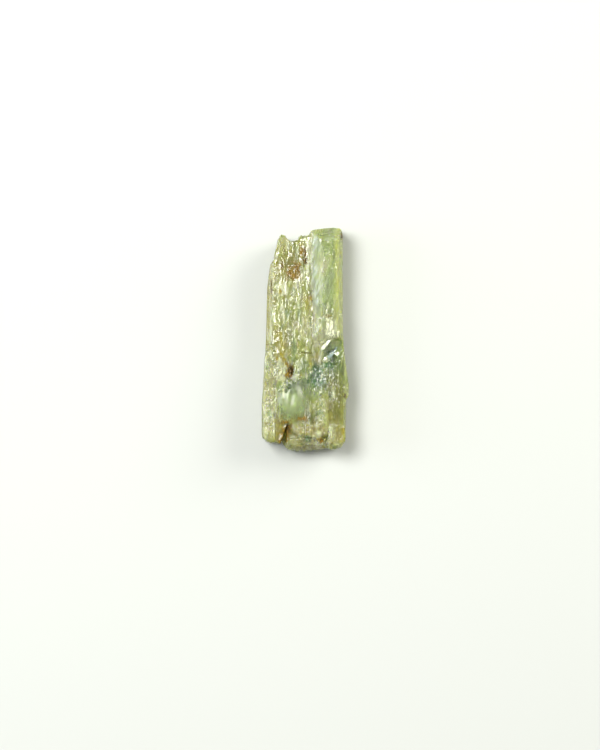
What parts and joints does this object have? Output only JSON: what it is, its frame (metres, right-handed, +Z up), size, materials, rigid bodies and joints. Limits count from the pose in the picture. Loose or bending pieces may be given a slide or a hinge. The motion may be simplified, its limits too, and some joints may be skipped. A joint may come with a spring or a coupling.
{
  "type": "kyanite crystal",
  "caption": "Rough green translucent kyanite crystal: flat blades grown together side by side, broken ends, lying on its broad cleavage face.",
  "frame": {"origin": "under the middle of the crystal's box, on the broad cleavage face it rests on", "axes": "+Y runs along the blades to the head, which is the end with the clean glassy blade; +X across the blades; +Z up through the thickness, out of the face that is seen"},
  "size_m": [0.0108, 0.028, 0.0052],
  "materials": {
    "green_kyanite": "satin"
  },
  "bodies": {
    "root": {"kyanite_crystal": "green_kyanite"}
  },
  "joints": []
}
